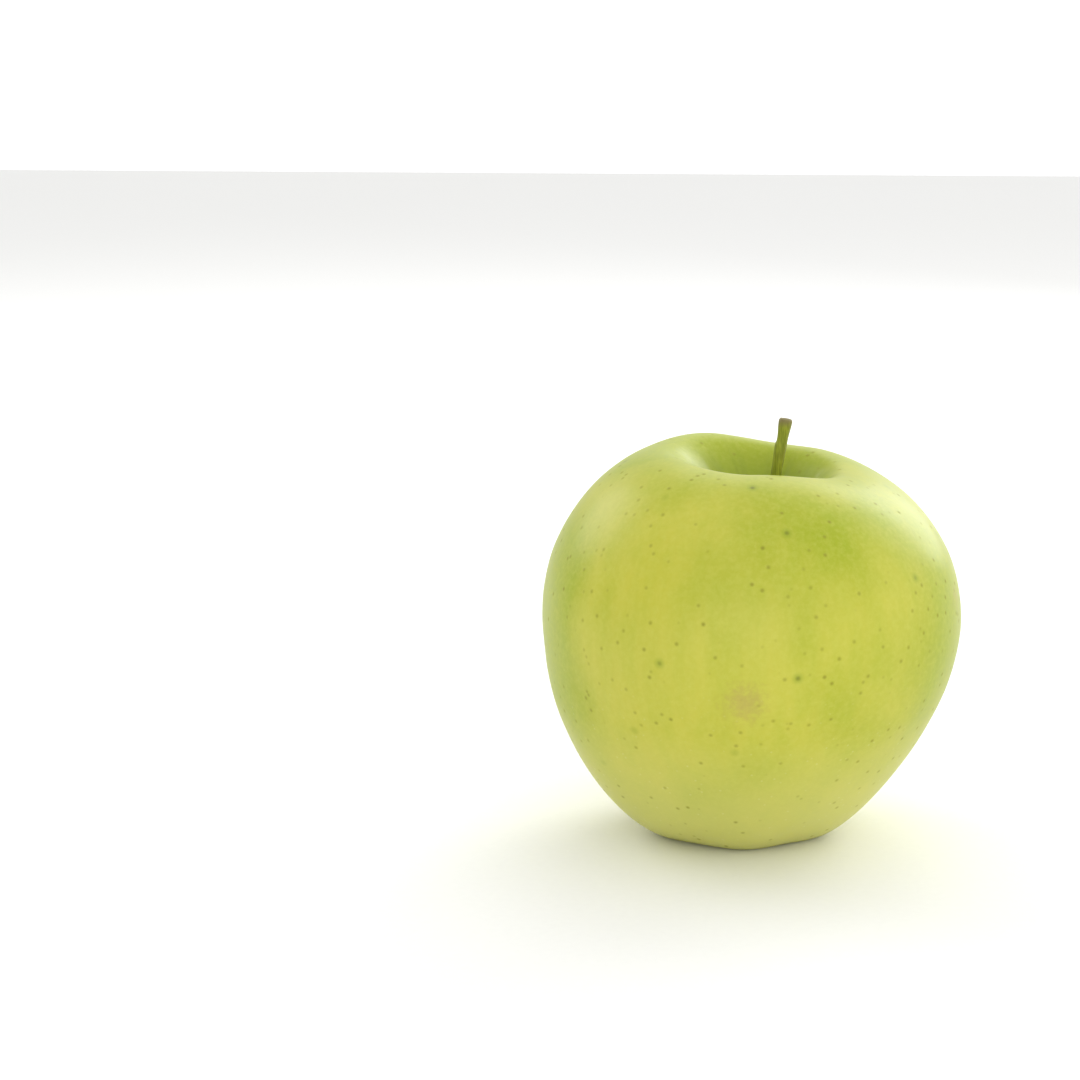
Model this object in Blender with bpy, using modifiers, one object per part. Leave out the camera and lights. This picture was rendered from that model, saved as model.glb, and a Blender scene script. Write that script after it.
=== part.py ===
"""One fresh apple, pale green to yellow, standing on the lobes round its eye.

Metres, +Z up along the fruit to its stem, +X to the right and the front towards -Y.
The origin is under the middle of the fruit, on the surface that it stands on.

The flesh and skin grew as one piece, so they are one solid. The stem, the five dried sepals
and the withered stamens and style in the eye are pieces of their own.
"""
import math

import bmesh
import bpy
from mathutils import Vector

MM = 0.001

# Driving dimensions of the fruit
FRUIT_WIDTH = 80.0 * MM
FRUIT_DEPTH = 78.0 * MM
CREST_HEIGHT = 73.0 * MM
WIDEST_HEIGHT = 43.6 * MM
CREST_RADIUS = 17.0 * MM
CAVITY_DEPTH = 15.3 * MM
FOOT_RADIUS = 12.9 * MM
BASIN_DEPTH = 8.5 * MM

# How full each arc of the side view is, as shares of the two spans that the arc crosses
CAVITY_FLOOR_FULLNESS = 0.24
CREST_INNER_FULLNESS = 0.30
CREST_OUTER_FULLNESS = 0.34
SHOULDER_FULLNESS = 0.62
FOOT_OUTER_FULLNESS = 0.35
FOOT_INNER_FULLNESS = 0.30
BASIN_FLOOR_FULLNESS = 0.42

# Five lobes, one for each seed chamber, the first one at the front and the rest going
# anticlockwise. No apple is even, so each lobe has its own rise at the crest and its own
# share of swelling at the foot.
LOBES = 5
FIRST_LOBE_AZIMUTH = math.radians(-88.0)
CREST_RISES = (0.2 * MM, -2.0 * MM, 0.0 * MM, 2.5 * MM, 1.6 * MM)
FOOT_SWELLS = (-0.08, -0.04, 0.01, 0.0, 0.04)
LOBE_SWELL = 0.022
FOOT_FURROW = 0.45 * MM
CREST_FURROW = 0.1 * MM

# The cavity and the foot sit a little off the middle
CREST_OFFSET = 0.2 * MM
CAVITY_OFFSET = 2.2 * MM
FOOT_OFFSET_LEFT = 1.2 * MM
FOOT_OFFSET_BACK = 0.5 * MM

# The lobes are pressed flat where they bear on the surface
FOOT_FLAT_DEPTH = 0.40 * MM

# Mesh of the fruit: steps along each arc of the side view, and steps round it
CAVITY_STEPS = 12
SHOULDER_STEPS = 14
FLANK_STEPS = 20
BASIN_STEPS = 12
LAST_STEP = CAVITY_STEPS + SHOULDER_STEPS + FLANK_STEPS + BASIN_STEPS
ROUND_STEPS = 12 * LOBES

# Stem
STEM_LENGTH = 22.3 * MM
STEM_DIAMETER = 2.2 * MM
STEM_FOOT_DIAMETER = 2.8 * MM
STEM_TOP_DIAMETER = 2.6 * MM
STEM_LEAN = math.radians(9.5)
STEM_LEAN_AZIMUTH = math.radians(0.0)
STEM_STEPS = 14

# Dried flower in the eye
SEPAL_TIP_HEIGHT = 1.4 * MM
SEPAL_WIDTH = 2.7 * MM
SEPAL_THICKNESS = 0.30 * MM
SEPAL_RING_RADIUS = 2.9 * MM
SEPAL_CURL = 2.2 * MM
SEPAL_AZIMUTH = math.radians(-67.0)
STAMENS = 10
STAMEN_LENGTH = 2.8 * MM
STAMEN_DIAMETER = 0.34 * MM
STAMEN_RING_RADIUS = 1.25 * MM
STYLE_LENGTH = 3.2 * MM
STYLE_DIAMETER = 0.50 * MM

# Clearance left between two pieces that touch
GAP = 0.30 * MM

COLLECTION_NAME = "apple"


def smooth(share):
    """Ease from 0 to 1 with level ends."""
    share = min(max(share, 0.0), 1.0)
    return share * share * (3.0 - 2.0 * share)


def bezier(start, start_handle, end_handle, end, t):
    """Point of a cubic arc in the plane of the side view."""
    s = 1.0 - t
    weights = (s ** 3, 3.0 * s * s * t, 3.0 * s * t * t, t ** 3)
    corners = (start, start_handle, end_handle, end)
    radius = sum(w * corner[0] for w, corner in zip(weights, corners))
    height = sum(w * corner[1] for w, corner in zip(weights, corners))
    return radius, height


def side_view_arcs():
    """The four arcs from the cavity floor over the crest and the side to the basin floor."""
    widest = 0.5 * FRUIT_WIDTH
    cavity_floor = CREST_HEIGHT - CAVITY_DEPTH
    crest_out = CREST_RADIUS + CREST_OUTER_FULLNESS * (widest - CREST_RADIUS)
    shoulder_up = WIDEST_HEIGHT + SHOULDER_FULLNESS * (CREST_HEIGHT - WIDEST_HEIGHT)
    foot_out = FOOT_RADIUS + FOOT_OUTER_FULLNESS * (widest - FOOT_RADIUS)
    # The bend at the widest ring is the same above and below, so that no crease shows there
    shoulder_handle = shoulder_up - WIDEST_HEIGHT
    flank_handle = shoulder_handle * math.sqrt((widest - foot_out) / (widest - crest_out))
    cavity = (
        (0.0, cavity_floor),
        (CAVITY_FLOOR_FULLNESS * CREST_RADIUS, cavity_floor),
        ((1.0 - CREST_INNER_FULLNESS) * CREST_RADIUS, CREST_HEIGHT),
        (CREST_RADIUS, CREST_HEIGHT),
    )
    shoulder = (
        (CREST_RADIUS, CREST_HEIGHT),
        (crest_out, CREST_HEIGHT),
        (widest, shoulder_up),
        (widest, WIDEST_HEIGHT),
    )
    flank = (
        (widest, WIDEST_HEIGHT),
        (widest, WIDEST_HEIGHT - flank_handle),
        (foot_out, 0.0),
        (FOOT_RADIUS, 0.0),
    )
    basin = (
        (FOOT_RADIUS, 0.0),
        ((1.0 - FOOT_INNER_FULLNESS) * FOOT_RADIUS, 0.0),
        (BASIN_FLOOR_FULLNESS * FOOT_RADIUS, BASIN_DEPTH),
        (0.0, BASIN_DEPTH),
    )
    steps = (CAVITY_STEPS, SHOULDER_STEPS, FLANK_STEPS, BASIN_STEPS)
    return list(zip(steps, (cavity, shoulder, flank, basin)))


def side_view(step):
    """Radius and height of the even, unlobed fruit at a step counted from the cavity floor."""
    for steps, corners in side_view_arcs():
        if step <= steps:
            return bezier(*corners, step / steps)
        step -= steps
    return 0.0, BASIN_DEPTH


def lobe_wave(azimuth):
    """1 on a lobe and 0 in the furrow between two."""
    return 0.5 + 0.5 * math.cos(LOBES * (azimuth - FIRST_LOBE_AZIMUTH))


def eased_over_lobes(azimuth, values):
    """A value given for each lobe, eased from one lobe to the next."""
    place = (azimuth - FIRST_LOBE_AZIMUTH) / (2.0 * math.pi) * LOBES % LOBES
    lobe = int(place) % LOBES
    here = values[lobe]
    following = values[(lobe + 1) % LOBES]
    return here + (following - here) * smooth(place - int(place))


def grown_point(radius, height, azimuth):
    """The same point on the real, lobed and lopsided fruit."""
    upper = smooth((height - WIDEST_HEIGHT) / (CREST_HEIGHT - WIDEST_HEIGHT))
    lower = smooth((WIDEST_HEIGHT - height) / WIDEST_HEIGHT)
    rim = smooth(radius / CREST_RADIUS)
    wave = lobe_wave(azimuth)
    swell = LOBE_SWELL * (2.0 * wave - 1.0) + eased_over_lobes(azimuth, FOOT_SWELLS)
    swollen = radius * (1.0 + swell * lower)
    x = swollen * math.cos(azimuth) + CREST_OFFSET * upper - FOOT_OFFSET_LEFT * lower
    y = swollen * math.sin(azimuth) * FRUIT_DEPTH / FRUIT_WIDTH + FOOT_OFFSET_BACK * lower
    rise = eased_over_lobes(azimuth, CREST_RISES) - CREST_FURROW * (1.0 - wave)
    z = height + rise * upper * rim
    z += FOOT_FURROW * (1.0 - wave) * lower * lower * smooth(radius / FOOT_RADIUS)
    if height > WIDEST_HEIGHT:
        x += CAVITY_OFFSET * (1.0 - rim)
    return Vector((x, y, z))


def grid_points():
    """Every point of the fruit's mesh, before it is stood on the surface."""
    for step in range(LAST_STEP + 1):
        radius, height = side_view(step)
        for turn in range(ROUND_STEPS):
            yield grown_point(radius, height, 2.0 * math.pi * turn / ROUND_STEPS)


def standing_shift():
    """The move that centres the fruit over the origin with its lobes just pressed flat."""
    points = list(grid_points())
    low = Vector([min(point[axis] for point in points) for axis in range(3)])
    high = Vector([max(point[axis] for point in points) for axis in range(3)])
    middle = (low + high) / 2.0
    return Vector((-middle.x, -middle.y, -low.z - FOOT_FLAT_DEPTH))


SHIFT = standing_shift()


def skin_point(step, azimuth):
    """Point of the skin at a step along the side view and an azimuth round the fruit."""
    radius, height = side_view(step)
    point = grown_point(radius, height, azimuth) + SHIFT
    point.z = max(point.z, 0.0)
    return point


def cavity_centre():
    """The lowest point of the stem cavity."""
    return skin_point(0, 0.0)


def basin_centre():
    """The highest point of the basin round the eye."""
    return skin_point(LAST_STEP, 0.0)


def fine_skin(first_step, last_step):
    """Points of the skin between two steps, four times as close as the mesh has them."""
    points = []
    for quarter in range(4 * (last_step - first_step) + 1):
        for turn in range(2 * ROUND_STEPS):
            azimuth = math.pi * turn / ROUND_STEPS
            points.append(skin_point(first_step + quarter / 4.0, azimuth))
    return points


CAVITY_FLOOR_SKIN = fine_skin(0, CAVITY_STEPS // 2)
BASIN_FLOOR_SKIN = fine_skin(LAST_STEP - 2 * BASIN_STEPS // 3, LAST_STEP)


def heights_under(skin, places, reach):
    """Heights of the skin within reach, measured level, of any of a piece's places."""
    return [point.z for point in skin
            if any((point - place).xy.length < reach for place in places)]


def seat_above_cavity(place, radius):
    """Height of a round foot that stands just clear of the cavity floor."""
    return max(heights_under(CAVITY_FLOOR_SKIN, [place], radius + GAP)) + GAP


def seat_under_basin(places, radius):
    """Height of a root that hangs just clear of the basin floor."""
    return min(heights_under(BASIN_FLOOR_SKIN, places, radius + GAP)) - GAP


def make_material(name, colour, roughness):
    """A plain Principled finish."""
    material = bpy.data.materials.new(name)
    material.use_nodes = True
    shader = material.node_tree.nodes["Principled BSDF"]
    shader.inputs["Base Color"].default_value = (*colour, 1.0)
    shader.inputs["Roughness"].default_value = roughness
    shader.inputs["Metallic"].default_value = 0.0
    return material


def finish_object(piece, collection, material):
    """Give a piece its material and put it in the apple's collection."""
    piece.data.materials.append(material)
    collection.objects.link(piece)
    return piece


def make_fruit(collection, material):
    """Skin and flesh: a sphere whose rings are drawn out along the fruit's side view."""
    ball = bmesh.new()
    bmesh.ops.create_uvsphere(ball, u_segments=ROUND_STEPS, v_segments=LAST_STEP, radius=1.0)
    for vertex in ball.verts:
        polar = math.acos(min(max(vertex.co.z, -1.0), 1.0))
        azimuth = math.atan2(vertex.co.y, vertex.co.x)
        vertex.co = skin_point(round(polar / math.pi * LAST_STEP), azimuth)
    bmesh.ops.recalc_face_normals(ball, faces=ball.faces)
    mesh = bpy.data.meshes.new("fruit")
    ball.to_mesh(mesh)
    ball.free()
    mesh.shade_smooth()
    return finish_object(bpy.data.objects.new("fruit", mesh), collection, material)


def make_rod(name, points, diameters, collection, material):
    """A thin round rod through points, with a diameter of its own at each one."""
    curve = bpy.data.curves.new(name, "CURVE")
    curve.dimensions = "3D"
    curve.bevel_depth = 0.5 * max(diameters)
    curve.bevel_resolution = 2
    curve.use_fill_caps = True
    spline = curve.splines.new("POLY")
    spline.points.add(len(points) - 1)
    for spline_point, place, diameter in zip(spline.points, points, diameters):
        spline_point.co = (*place, 1.0)
        spline_point.radius = diameter / max(diameters)
    return finish_object(bpy.data.objects.new(name, curve), collection, material)


def stem_diameter(share):
    """Thicker at the foot, slim along the middle and flared at the scar where it was picked."""
    foot = STEM_DIAMETER + (STEM_FOOT_DIAMETER - STEM_DIAMETER) * (1.0 - smooth(share / 0.3))
    top = (STEM_TOP_DIAMETER - STEM_DIAMETER) * smooth((share - 0.72) / 0.25)
    return foot + top


def make_stem(collection, material):
    """The stem: upright at its foot and then leaning, seated just above the cavity floor."""
    foot = cavity_centre()
    foot.z = seat_above_cavity(foot, 0.5 * STEM_FOOT_DIAMETER)
    lean = Vector((math.cos(STEM_LEAN_AZIMUTH), math.sin(STEM_LEAN_AZIMUTH), 0.0))
    points = []
    diameters = []
    for step in range(STEM_STEPS + 1):
        share = step / STEM_STEPS
        run = share * STEM_LENGTH
        sideways = math.tan(STEM_LEAN) * run * smooth(share / 0.35)
        points.append(foot + lean * sideways + Vector((0.0, 0.0, run)))
        diameters.append(stem_diameter(share))
    return make_rod("stem", points, diameters, collection, material)


def sepal_offset(share, side, outward, across):
    """Place of a sepal's point, level with its root: share runs along it and side across."""
    width = SEPAL_WIDTH * (1.0 - 0.85 * share ** 1.6)
    reach = SEPAL_CURL * (share ** 2.2 - 0.25 * math.sin(math.pi * share))
    fold = 0.18 * width * (2.0 * side) ** 2
    return across * (side * width) + outward * (SEPAL_RING_RADIUS + reach + fold)


def make_sepal(index, collection, material):
    """One dried sepal: a pointed strip that hangs from the eye and curls out at its tip."""
    azimuth = SEPAL_AZIMUTH + 2.0 * math.pi * index / LOBES
    outward = Vector((math.cos(azimuth), math.sin(azimuth), 0.0))
    across = Vector((-outward.y, outward.x, 0.0))
    eye = basin_centre()
    root_edge = [eye + sepal_offset(0.0, side / 4.0, outward, across) for side in range(-2, 3)]
    root_height = seat_under_basin(root_edge, SEPAL_THICKNESS) - 0.5 * SEPAL_THICKNESS
    length = root_height - SEPAL_TIP_HEIGHT
    strip = bmesh.new()
    bmesh.ops.create_grid(strip, x_segments=4, y_segments=8, size=0.5)
    for vertex in strip.verts:
        share = vertex.co.y + 0.5
        vertex.co = eye + sepal_offset(share, vertex.co.x, outward, across)
        vertex.co.z = root_height - length * share
    mesh = bpy.data.meshes.new(f"sepal_{index + 1}")
    strip.to_mesh(mesh)
    strip.free()
    mesh.shade_smooth()
    sepal = finish_object(bpy.data.objects.new(mesh.name, mesh), collection, material)
    shell = sepal.modifiers.new("thickness", "SOLIDIFY")
    shell.thickness = SEPAL_THICKNESS
    shell.offset = 0.0
    return sepal


def make_stamens(collection, material):
    """The withered stamens: a ring of short threads inside the sepals, bent a little apart."""
    for index in range(STAMENS):
        azimuth = SEPAL_AZIMUTH + 2.0 * math.pi * (index + 0.5) / STAMENS
        outward = Vector((math.cos(azimuth), math.sin(azimuth), 0.0))
        root = basin_centre() + outward * STAMEN_RING_RADIUS
        root.z = seat_under_basin([root], 0.5 * STAMEN_DIAMETER)
        length = STAMEN_LENGTH * (1.0 if index % 2 else 0.82)
        points = []
        for step in range(6):
            share = step / 5.0
            bend = 0.10 * length * math.sin(math.pi * share)
            points.append(root - outward * bend - Vector((0.0, 0.0, length * share)))
        diameters = [STAMEN_DIAMETER] * len(points)
        make_rod(f"stamen_{index + 1:02d}", points, diameters, collection, material)


def make_style(collection, material):
    """The withered style in the middle of the eye."""
    root = basin_centre()
    root.z = seat_under_basin([root], 0.5 * STYLE_DIAMETER)
    tip = root - Vector((0.0, 0.0, STYLE_LENGTH))
    middle = (root + tip) / 2.0
    diameters = [STYLE_DIAMETER, 0.8 * STYLE_DIAMETER, STYLE_DIAMETER]
    return make_rod("style", [root, middle, tip], diameters, collection, material)


def main():
    for old in list(bpy.data.objects):
        bpy.data.objects.remove(old, do_unlink=True)
    collection = bpy.data.collections.new(COLLECTION_NAME)
    bpy.context.scene.collection.children.link(collection)
    skin = make_material("waxy_apple_skin", (0.50, 0.56, 0.12), 0.38)
    bark = make_material("green_stem_bark", (0.22, 0.25, 0.03), 0.60)
    dry_sepal = make_material("dried_sepal", (0.13, 0.08, 0.04), 0.85)
    dry_thread = make_material("dried_stamen", (0.07, 0.04, 0.02), 0.90)
    make_fruit(collection, skin)
    make_stem(collection, bark)
    for index in range(LOBES):
        make_sepal(index, collection, dry_sepal)
    make_stamens(collection, dry_thread)
    make_style(collection, dry_thread)


main()
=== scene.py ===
# %% [markdown]
# # A fresh apple
#
# This lesson dresses the measured model of one apple: a pale green-yellow dessert apple that
# stands on its lobes with a short woody stem. The measured model gives every size and place.
# The lesson grows a fine skin over it, turns a stem, curls the dried flower in the eye, and
# sets up a white studio. Distances are in metres, and MM turns millimetres into them.

# %% Load the measured model
import math

import bmesh
import bpy
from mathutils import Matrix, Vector, noise


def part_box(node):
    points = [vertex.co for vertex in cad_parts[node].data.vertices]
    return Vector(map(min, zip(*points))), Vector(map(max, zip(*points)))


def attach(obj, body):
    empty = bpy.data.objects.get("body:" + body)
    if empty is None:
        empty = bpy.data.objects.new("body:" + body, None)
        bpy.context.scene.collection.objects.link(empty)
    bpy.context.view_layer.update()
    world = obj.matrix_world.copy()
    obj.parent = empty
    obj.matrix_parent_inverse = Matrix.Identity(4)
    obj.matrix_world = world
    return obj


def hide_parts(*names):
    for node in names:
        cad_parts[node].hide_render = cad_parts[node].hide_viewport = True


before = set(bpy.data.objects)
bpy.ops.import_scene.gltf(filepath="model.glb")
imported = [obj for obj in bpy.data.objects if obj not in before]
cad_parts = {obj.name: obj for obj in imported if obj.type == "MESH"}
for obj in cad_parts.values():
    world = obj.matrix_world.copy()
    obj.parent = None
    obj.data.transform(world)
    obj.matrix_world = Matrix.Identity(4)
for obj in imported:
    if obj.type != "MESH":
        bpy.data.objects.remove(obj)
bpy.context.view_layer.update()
MM = 0.001

# %% [markdown]
# ## Landmarks
#
# Everything on an apple is laid out round two points: the floor of the cavity that holds the
# stem, and the roof of the basin that holds the eye. Both are read from the measured fruit,
# so that the finer pieces land where the measured ones are.

# %% Find the stem cavity and the eye
fruit_low, fruit_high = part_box("fruit")
stem_low, stem_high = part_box("stem")
style_low, style_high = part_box("style")
# The stem leans to the right, so the middle of its foot is this far from its box's left side
STEM_FOOT_RADIUS = 1.4 * MM

cavity_floor = Vector((stem_low.x + STEM_FOOT_RADIUS, (stem_low.y + stem_high.y) / 2, stem_low.z))
eye = Vector(((style_low.x + style_high.x) / 2, (style_low.y + style_high.y) / 2, style_high.z))
print("cavity floor, mm:", [round(value / MM, 1) for value in cavity_floor])
print("eye, mm:", [round(value / MM, 1) for value in eye])


def ease(low, high, value):
    """0 below low, 1 above high and a smooth rise between them. Swap the two for a fall."""
    share = min(max((value - low) / (high - low), 0.0), 1.0)
    return share * share * (3.0 - 2.0 * share)


# %% [markdown]
# ## The fruit: one skin
#
# Skin and flesh grew as one piece, so the fruit is one closed surface. It could be sculpted
# from a ball, but the measured solid already has the lobes, the lean and the flats that it
# stands on. So its mesh is copied, its triangles are joined back into four-sided faces, and a
# Subdivision Surface rounds them. The measured mesh itself stays as it was.

# %% Copy the measured fruit and round it
ROUNDING_LEVELS = 2
WELD_DISTANCE = 0.001 * MM


def rounded_copy(node, name, levels):
    """A fine, smooth copy of a measured node."""
    coarse = bmesh.new()
    coarse.from_mesh(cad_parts[node].data)
    bmesh.ops.remove_doubles(coarse, verts=coarse.verts, dist=WELD_DISTANCE)
    bmesh.ops.join_triangles(
        coarse, faces=coarse.faces, angle_face_threshold=math.pi, angle_shape_threshold=math.pi
    )
    mesh = bpy.data.meshes.new(name)
    coarse.to_mesh(mesh)
    coarse.free()
    piece = bpy.data.objects.new(name, mesh)
    bpy.context.scene.collection.objects.link(piece)
    rounding = piece.modifiers.new("rounding", "SUBSURF")
    rounding.levels = levels
    rounding.render_levels = levels
    evaluated = piece.evaluated_get(bpy.context.evaluated_depsgraph_get())
    piece.data = bpy.data.meshes.new_from_object(evaluated)
    piece.modifiers.clear()
    piece.data.shade_smooth()
    return piece


fruit = rounded_copy("fruit", "apple_fruit", ROUNDING_LEVELS)
print("fruit faces:", len(fruit.data.polygons))

# %% [markdown]
# ## The fruit: folds and creases
#
# Where the stem and the flower sit, the skin grew in folds that run outwards from them: wide,
# shallow ones with a few sharper creases in the cavity, and narrow pleats round the eye. They
# could be sculpted by hand, but a formula keeps them in place if the fruit changes. A fold
# is noise that is read round a circle, so it keeps its value outwards. A crease is a groove
# along one direction, with soft sides.

# %% Folds round a centre, creases in the cavity
# Creases that run from the stem up the cavity wall: direction in degrees, depth and half width
CAVITY_CREASES = (
    (196, 0.55 * MM, 0.9 * MM),
    (152, 0.40 * MM, 1.1 * MM),
    (70, 0.30 * MM, 0.9 * MM),
    (24, 0.40 * MM, 1.2 * MM),
    (282, 0.35 * MM, 1.0 * MM),
)


def ripple(point, centre, turns, drift, seed):
    """Noise round a centre that keeps its value along each radius, as a fold does."""
    arm = point - centre
    angle = math.atan2(arm.y, arm.x)
    spot = Vector((turns * math.cos(angle), turns * math.sin(angle), arm.length / drift + seed))
    return noise.noise(spot)


def crease_depth(point):
    """How deep the cavity's creases are at a point."""
    arm = (point - cavity_floor).xy
    depth = 0.0
    for degrees, deepest, half_width in CAVITY_CREASES:
        along = Vector((math.cos(math.radians(degrees)), math.sin(math.radians(degrees))))
        across = arm.cross(along)
        if arm.dot(along) > 0.0:
            depth += deepest * math.exp(-(across / half_width) ** 2)
    return depth


print("creases in the cavity:", len(CAVITY_CREASES))

# %% [markdown]
# ## The fruit: how it grew
#
# A real apple is never as even as a drawn one. Its side swells and dips by a few tenths of a
# millimetre over a thumb's width, and the folds lie in the cavity and in the basin. A bump in
# the finish could draw these, but a finger can feel them, so each vertex is moved along its
# normal. All of them fade out where the lobes touch the surface, so the apple stands on the
# measured flats. The places are gathered first and written together, because Blender works
# out all normals again after each vertex that moves.

# %% Swells, folds and pleats
SWELL_WIDTH = 17 * MM
SWELL_DEPTH = 0.34 * MM
SWELL_SEED = Vector((3.1, 7.4, 1.7))
DIMPLE_WIDTH = 6.5 * MM
DIMPLE_DEPTH = 0.055 * MM
FOLD_DEPTH = 0.55 * MM
PLEAT_DEPTH = 0.60 * MM
# How many folds or pleats go round, how far each runs before it changes, and a seed
FOLDS = (1.6, 22 * MM, 4.0)
PLEATS = (3.4, 30 * MM, 9.0)
# Distances and heights at which folds and pleats are nil, and at which they are full
FOLDS_BELOW_RIM = (15 * MM, 6 * MM)
FOLDS_OFF_STEM = (2.0 * MM, 5.0 * MM)
FOLDS_ABOVE = (45 * MM, 55 * MM)
PLEATS_BELOW_RIM = (13 * MM, 7 * MM)
PLEATS_OFF_EYE = (1.5 * MM, 4.0 * MM)
PLEATS_UNDER = (14 * MM, 9 * MM)
# All growth fades out from this height down to the surface
NEAR_SURFACE = 0.9 * MM


def growth(point):
    """How far the skin stands out of its even shape at a point."""
    swell = SWELL_DEPTH * noise.noise(point / SWELL_WIDTH + SWELL_SEED)
    dimple = DIMPLE_DEPTH * noise.noise(point / DIMPLE_WIDTH)
    from_stem = (point - cavity_floor).xy.length
    in_cavity = ease(*FOLDS_BELOW_RIM, from_stem) * ease(*FOLDS_OFF_STEM, from_stem)
    in_cavity *= ease(*FOLDS_ABOVE, point.z)
    fold = FOLD_DEPTH * ripple(point, cavity_floor, *FOLDS) * in_cavity
    fold -= crease_depth(point) * in_cavity
    from_eye = (point - eye).xy.length
    in_basin = ease(*PLEATS_BELOW_RIM, from_eye) * ease(*PLEATS_OFF_EYE, from_eye)
    in_basin *= ease(*PLEATS_UNDER, point.z)
    pleat = PLEAT_DEPTH * ripple(point, eye, *PLEATS) * in_basin
    held = ease(0.0, NEAR_SURFACE, point.z)
    return (swell + dimple + fold + pleat) * held


grown = [vertex.co + vertex.normal * growth(vertex.co) for vertex in fruit.data.vertices]
fruit.data.vertices.foreach_set("co", [value for point in grown for value in point])
fruit.data.update()
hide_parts("fruit")
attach(fruit, "root")
heights = [vertex.co.z for vertex in fruit.data.vertices]
print("fruit stands from", round(min(heights) / MM, 3), "to", round(max(heights) / MM, 2), "mm")

# %% [markdown]
# ## Colours and nodes
#
# Colours are written as sRGB hex values, as on a paint chart, and turned to the linear values
# that Blender computes with. A material could be wired by hand in the node editor, but written
# out it can be read and changed, so one helper adds a node, sets it up and links it.

# %% One function for colour, one for nodes


def linear(hex_colour):
    """Linear RGBA of an sRGB hex colour."""
    channels = [int(hex_colour[i:i + 2], 16) / 255 for i in (1, 3, 5)]
    curve = [c / 12.92 if c <= 0.04045 else ((c + 0.055) / 1.055) ** 2.4 for c in channels]
    return (*curve, 1.0)


def add(tree, kind, inputs=None, **settings):
    """Add a node. Inputs take a value, or a socket to link from."""
    made = tree.nodes.new("ShaderNode" + kind)
    for name, value in settings.items():
        setattr(made, name, value)
    for place, value in (inputs or {}).items():
        if isinstance(value, bpy.types.NodeSocket):
            tree.links.new(value, made.inputs[place])
        else:
            made.inputs[place].default_value = value
    return made


def new_material(name):
    """An empty material with its Principled shader and its output."""
    material = bpy.data.materials.new(name)
    material.use_nodes = True
    tree = material.node_tree
    return material, tree, tree.nodes["Principled BSDF"]


# A Mix node keeps its two colours in inputs 6 and 7, and its mixed colour in output 2
COLOUR_A, COLOUR_B, COLOUR_OUT = 6, 7, 2
print("green of the cavity, linear:", [round(c, 3) for c in linear("#8E9E14")])

# %% [markdown]
# ## Skin finish: the ground colour
#
# A golden-green apple is picked as its skin turns from grass green to straw yellow. The side
# that faced the sun is yellower, the shaded side and the cavity stay green, and the change is
# patchy over two or three centimetres. A painted image could hold this, but nodes give it at
# any size. Green and yellow are mixed by a share that adds up a slow noise, the side that faced
# the sun, and a list of patches that are riper or greener. Four of the greener patches, on the
# left flank and on the crest, are painted shade: they darken the skin there as shade would.

# %% Apple skin: ground colour
skin, tree, shader = new_material("waxy_apple_skin")
fruit.data.materials.clear()
fruit.data.materials.append(skin)

place = add(tree, "TexCoord").outputs["Object"]
axes = add(tree, "SeparateXYZ", {0: place})
PATCH_SIZE = 15 * MM
SUN_SIDE = Vector((-0.15, -0.95, -0.10))
SUN_REACH = 95 * MM
# Centre and radius in mm, and how much riper the skin is there; below 0 it is greener.
# On the left flank and the crest, greener is painted shade.
RIPENESS_AND_SHADE_PATCHES = (
    ((11, -30, 61), 20, -0.26),
    ((22, -22, 63), 15, -0.14),
    # Painted shade: the next two green and darken the left flank
    ((-38, -10, 50), 24, -0.45),
    ((-35, -16, 31), 18, -0.35),
    ((9, -38, 49), 10, -0.16),
    ((-6, -27, 64), 15, 0.25),
    ((-18, -31, 58), 13, 0.18),
    ((-13, -35, 44), 14, 0.12),
    ((-14, -31, 24), 16, 0.22),
    ((33, -16, 40), 20, -0.16),
    ((4, -34, 20), 22, -0.10),
    # Painted shade: the last two green and darken the crest round the cavity
    ((-15, 0, 72), 18, -0.45),
    ((10, 14, 72), 16, -0.30),
)

patch_place = add(tree, "VectorMath", {0: place, 1: (1.0, 1.0, 0.55)}, operation="MULTIPLY")
patches = add(tree, "TexNoise", {"Vector": patch_place.outputs[0], "Scale": 1 / PATCH_SIZE,
                                 "Detail": 2.0, "Roughness": 0.5})
facing_sun = add(tree, "VectorMath", {0: place, 1: SUN_SIDE / SUN_REACH}, operation="DOT_PRODUCT")
ripeness_and_shade = add(tree, "Math", {0: patches.outputs["Fac"], 1: facing_sun.outputs["Value"]},
               operation="ADD")
for centre, radius, change in RIPENESS_AND_SHADE_PATCHES:
    arm = add(tree, "VectorMath", {0: place, 1: Vector(centre) * MM}, operation="DISTANCE")
    reach = add(tree, "MapRange", {"Value": arm.outputs["Value"], "From Min": radius * MM,
                                   "From Max": 0.0, "To Max": change},
                interpolation_type="SMOOTHERSTEP")
    ripeness_and_shade = add(tree, "Math", {0: ripeness_and_shade.outputs[0], 1: reach.outputs[0]}, operation="ADD")
# This share holds the ripeness and the painted shade of the left flank and crest
ripe_and_shade = add(tree, "MapRange", {"Value": ripeness_and_shade.outputs[0], "From Min": 0.36, "From Max": 0.92})
ground = add(tree, "Mix", {0: ripe_and_shade.outputs[0], COLOUR_A: linear("#A0AB10"),
                           COLOUR_B: linear("#C3C044")}, data_type="RGBA")
print("patches:", len(RIPENESS_AND_SHADE_PATCHES))

# %% [markdown]
# ## Skin finish: streaks and mottle
#
# Seen close, the ground colour isn't smooth. Faint greener streaks run from stem to eye, as
# the cells grew in rows, and a fine pale mottle lies all over. Both are noise. The streaks'
# noise is read with its height pressed together, which stretches it into upright lines.

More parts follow.
